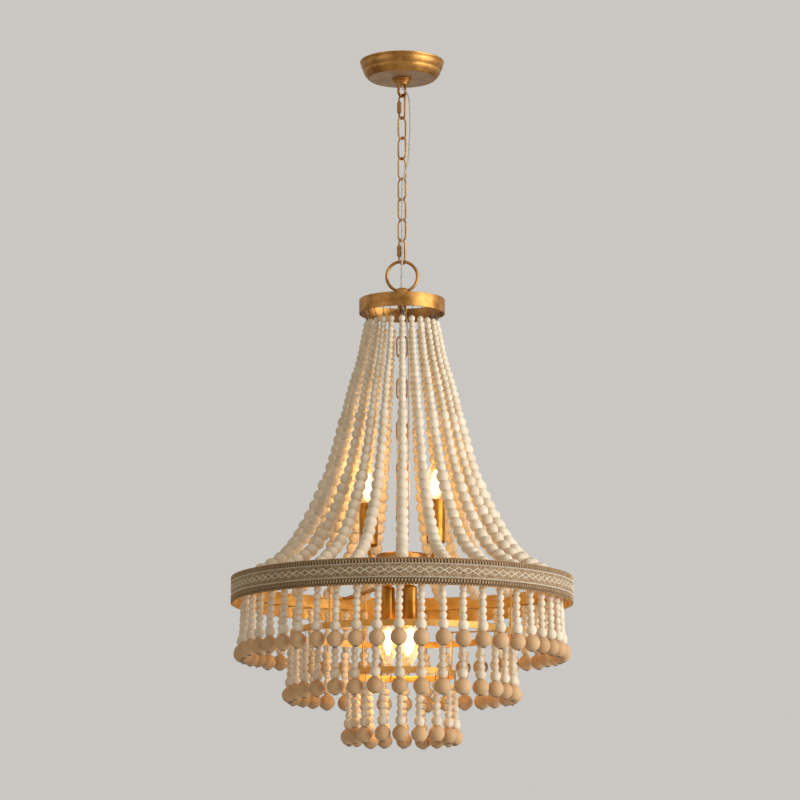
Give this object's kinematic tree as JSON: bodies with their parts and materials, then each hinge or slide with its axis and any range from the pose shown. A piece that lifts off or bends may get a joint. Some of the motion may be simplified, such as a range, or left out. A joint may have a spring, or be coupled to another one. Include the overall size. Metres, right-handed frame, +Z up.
{
  "type": "beaded chandelier",
  "caption": "Ceiling-hung chandelier with a link chain, a ribbon-wrapped hoop, draped and hanging wooden bead strands, and upper and lower lamps.",
  "frame": {"origin": "on the ceiling plane, on the lamp's axis", "axes": "+Z up, the pictured side faces -Y, +X to its right"},
  "size_m": [0.6, 0.6, 1.2444],
  "materials": {
    "brass": "antique, lightly brushed",
    "steel": "zinc plated",
    "beads": "matt, whitewashed",
    "ribbon": "woven, with a pale diamond row",
    "glass": "clear",
    "cord": "translucent"
  },
  "bodies": {
    "ceiling_mount": {"mounting_strap": "steel", "threaded_nipple": "steel", "nipple_nut": "steel", "strap_screw_1": "steel", "strap_screw_2": "steel", "collar_loop": "brass"},
    "canopy": {"canopy": "brass"},
    "collar_ring": {"collar_ring": "brass"},
    "upper_quick_link": {"upper_quick_link": "brass", "upper_quick_link_nut": "brass"},
    "chain_link_1": {"chain_link_1": "brass"},
    "chain_link_2": {"chain_link_2": "brass"},
    "chain_link_3": {"chain_link_3": "brass"},
    "chain_link_4": {"chain_link_4": "brass"},
    "chain_link_5": {"chain_link_5": "brass"},
    "chain_link_6": {"chain_link_6": "brass"},
    "lower_quick_link": {"lower_quick_link": "brass", "lower_quick_link_nut": "brass"},
    "fixture": {"hanging_ring": "brass", "crown_band": "brass", "crown_crossbar": "brass", "crown_loop": "brass", "drape_tier": "beads", "inner_quick_link": "brass", "inner_quick_link_nut": "brass", "inner_link_1": "brass", "inner_link_2": "brass", "inner_link_3": "brass", "inner_link_4": "brass", "inner_link_5": "brass", "inner_link_6": "brass", "inner_link_7": "brass", "inner_link_8": "brass", "inner_link_9": "brass", "inner_link_10": "brass", "hub_loop": "brass", "hub_cover": "brass", "hub_plate": "brass", "arm_1": "brass", "arm_2": "brass", "arm_3": "brass", "candle_holder_1": "brass", "candle_holder_2": "brass", "lower_socket_1": "brass", "lower_socket_2": "brass", "lower_socket_3": "brass", "hoop": "brass", "outer_tier": "beads", "ribbon": "ribbon", "middle_tier": "beads", "bottom_tier": "beads", "cord": "cord"},
    "candle_bulb_1": {"candle_bulb_1": "glass"},
    "candle_bulb_2": {"candle_bulb_2": "glass"},
    "lower_bulb_1": {"lower_bulb_1": "glass"},
    "lower_bulb_2": {"lower_bulb_2": "glass"},
    "lower_bulb_3": {"lower_bulb_3": "glass"}
  },
  "joints": [
    {"name": "canopy_slide", "type": "slide", "parent": "ceiling_mount", "child": "canopy", "axis": [0, 0, -1], "range_m": [0, 0.015]},
    {"name": "collar_slide", "type": "slide", "parent": "ceiling_mount", "child": "collar_ring", "axis": [0, 0, -1], "range_m": [0, 0.015]},
    {"name": "chain_swing_1", "type": "hinge", "parent": "ceiling_mount", "child": "upper_quick_link", "pos_m": [0, 0, -0.065], "axis": [0.7071, 0.7071, 0], "range_deg": [-10, 10], "deforming": ["cord"]},
    {"name": "chain_swing_2", "type": "hinge", "parent": "upper_quick_link", "child": "chain_link_1", "pos_m": [0, 0, -0.10645], "axis": [0.7071, -0.7071, 0], "range_deg": [-10, 10], "deforming": ["cord"]},
    {"name": "chain_swing_3", "type": "hinge", "parent": "chain_link_1", "child": "chain_link_2", "pos_m": [0, 0, -0.1441], "axis": [0.7071, 0.7071, 0], "range_deg": [-10, 10], "deforming": ["cord"]},
    {"name": "chain_swing_4", "type": "hinge", "parent": "chain_link_2", "child": "chain_link_3", "pos_m": [0, 0, -0.1819], "axis": [0.7071, -0.7071, 0], "range_deg": [-10, 10], "deforming": ["cord"]},
    {"name": "chain_swing_5", "type": "hinge", "parent": "chain_link_3", "child": "chain_link_4", "pos_m": [0, 0, -0.2197], "axis": [0.7071, 0.7071, 0], "range_deg": [-10, 10], "deforming": ["cord"]},
    {"name": "chain_swing_6", "type": "hinge", "parent": "chain_link_4", "child": "chain_link_5", "pos_m": [0, 0, -0.2575], "axis": [0.7071, -0.7071, 0], "range_deg": [-10, 10], "deforming": ["cord"]},
    {"name": "chain_swing_7", "type": "hinge", "parent": "chain_link_5", "child": "chain_link_6", "pos_m": [0, 0, -0.2953], "axis": [0.7071, 0.7071, 0], "range_deg": [-10, 10], "deforming": ["cord"]},
    {"name": "chain_swing_8", "type": "hinge", "parent": "chain_link_6", "child": "lower_quick_link", "pos_m": [0, 0, -0.3331], "axis": [0.7071, -0.7071, 0], "range_deg": [-10, 10], "deforming": ["cord"]},
    {"name": "chain_swing_9", "type": "hinge", "parent": "lower_quick_link", "child": "fixture", "pos_m": [0, 0, -0.37495], "axis": [0.7071, 0.7071, 0], "range_deg": [-6, 6], "deforming": ["cord"]},
    {"name": "candle_bulb_1_turn", "type": "hinge", "parent": "fixture", "child": "candle_bulb_1", "pos_m": [-0.0592, 0.02155, -0.83], "axis": [0, 0, 1], "continuous": true},
    {"name": "candle_bulb_2_turn", "type": "hinge", "parent": "fixture", "child": "candle_bulb_2", "pos_m": [0.0592, -0.02155, -0.83], "axis": [0, 0, 1], "continuous": true},
    {"name": "lower_bulb_1_turn", "type": "hinge", "parent": "fixture", "child": "lower_bulb_1", "pos_m": [-0.02442, -0.003, -1], "axis": [0, 0, 1], "continuous": true},
    {"name": "lower_bulb_2_turn", "type": "hinge", "parent": "fixture", "child": "lower_bulb_2", "pos_m": [0.01481, -0.01965, -1], "axis": [0, 0, 1], "continuous": true},
    {"name": "lower_bulb_3_turn", "type": "hinge", "parent": "fixture", "child": "lower_bulb_3", "pos_m": [0.00961, 0.02264, -1], "axis": [0, 0, 1], "continuous": true}
  ],
  "couplings": [
    {"joint": "collar_slide", "follows": "canopy_slide", "ratio": 1}
  ]
}
